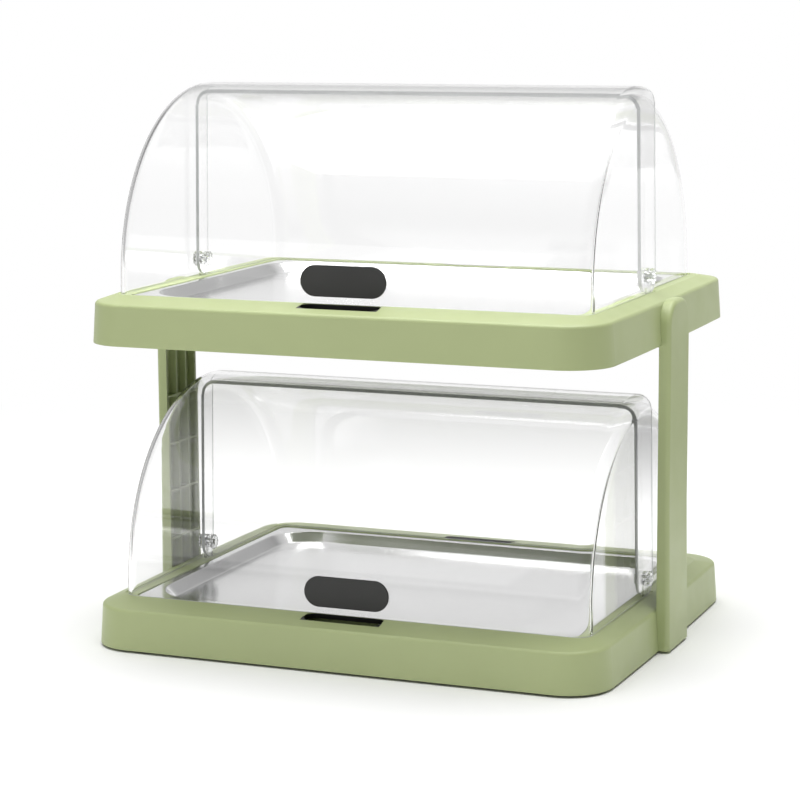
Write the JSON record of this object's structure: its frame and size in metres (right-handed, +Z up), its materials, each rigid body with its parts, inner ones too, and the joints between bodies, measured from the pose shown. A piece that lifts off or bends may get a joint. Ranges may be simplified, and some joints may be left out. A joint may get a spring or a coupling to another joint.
{
  "type": "roll-top food display",
  "caption": "Tiered roll-top food display with clear hinged covers over steel trays, chilled by freezer packs in the moulded bases.",
  "frame": {"origin": "middle of the footprint, on the surface that the feet stand on", "axes": "+X to the right along the hinge lines, the front faces -Y, +Z up"},
  "size_m": [0.4468, 0.355, 0.44],
  "materials": {
    "housing": "satin moulded plastic, soft green",
    "underside": "plain moulded sheet, dark green",
    "clear_cover": "clear polished plastic",
    "clear_fitting": "clear moulded plastic",
    "dark_plate": "charcoal, lightly textured, bare",
    "tray_steel": "brushed stainless steel",
    "cooling_pack": "blow-moulded, pale blue",
    "pack_cap": "moulded, blue",
    "screw_steel": "plain steel",
    "foot_rubber": "black rubber"
  },
  "bodies": {
    "stand": {"lower_base": "housing", "lower_bottom_plate": "underside", "lower_left_hinge_bracket": "clear_fitting", "lower_right_hinge_bracket": "clear_fitting", "lower_left_hinge_pin": "clear_fitting", "lower_right_hinge_pin": "clear_fitting", "lower_left_pin_cap": "clear_fitting", "lower_right_pin_cap": "clear_fitting", "lower_left_cooling_pack": "cooling_pack", "lower_right_cooling_pack": "cooling_pack", "lower_left_pack_cap": "pack_cap", "lower_right_pack_cap": "pack_cap", "upper_base": "housing", "upper_bottom_plate": "underside", "upper_left_hinge_bracket": "clear_fitting", "upper_right_hinge_bracket": "clear_fitting", "upper_left_hinge_pin": "clear_fitting", "upper_right_hinge_pin": "clear_fitting", "upper_left_pin_cap": "clear_fitting", "upper_right_pin_cap": "clear_fitting", "upper_left_cooling_pack": "cooling_pack", "upper_right_cooling_pack": "cooling_pack", "upper_left_pack_cap": "pack_cap", "upper_right_pack_cap": "pack_cap", "bottom_plate_screws": "screw_steel", "hinge_bracket_screws": "screw_steel", "post_screws": "screw_steel", "left_post": "housing", "right_post": "housing", "rubber_feet": "foot_rubber"},
    "lower_front_cover_body": {"lower_front_cover": "clear_cover", "lower_oval_plate": "dark_plate"},
    "lower_rear_cover_body": {"lower_rear_cover": "clear_cover"},
    "lower_tray_body": {"lower_tray": "tray_steel"},
    "upper_front_cover_body": {"upper_front_cover": "clear_cover", "upper_oval_plate": "dark_plate"},
    "upper_rear_cover_body": {"upper_rear_cover": "clear_cover"},
    "upper_tray_body": {"upper_tray": "tray_steel"}
  },
  "joints": [
    {"name": "lower_front_cover_hinge", "type": "hinge", "parent": "stand", "child": "lower_front_cover_body", "pos_m": [0, 0, 0.052], "axis": [-1, 0, 0], "range_deg": [0, 85]},
    {"name": "lower_rear_cover_hinge", "type": "hinge", "parent": "stand", "child": "lower_rear_cover_body", "pos_m": [0, 0, 0.052], "axis": [1, 0, 0], "range_deg": [0, 85]},
    {"name": "lower_tray_lift", "type": "slide", "parent": "stand", "child": "lower_tray_body", "axis": [0, 0, 1], "range_m": [0, 0.012]},
    {"name": "upper_front_cover_hinge", "type": "hinge", "parent": "stand", "child": "upper_front_cover_body", "pos_m": [0, 0, 0.2935], "axis": [-1, 0, 0], "range_deg": [0, 85]},
    {"name": "upper_rear_cover_hinge", "type": "hinge", "parent": "stand", "child": "upper_rear_cover_body", "pos_m": [0, 0, 0.2935], "axis": [1, 0, 0], "range_deg": [0, 85]},
    {"name": "upper_tray_lift", "type": "slide", "parent": "stand", "child": "upper_tray_body", "axis": [0, 0, 1], "range_m": [0, 0.012]}
  ]
}
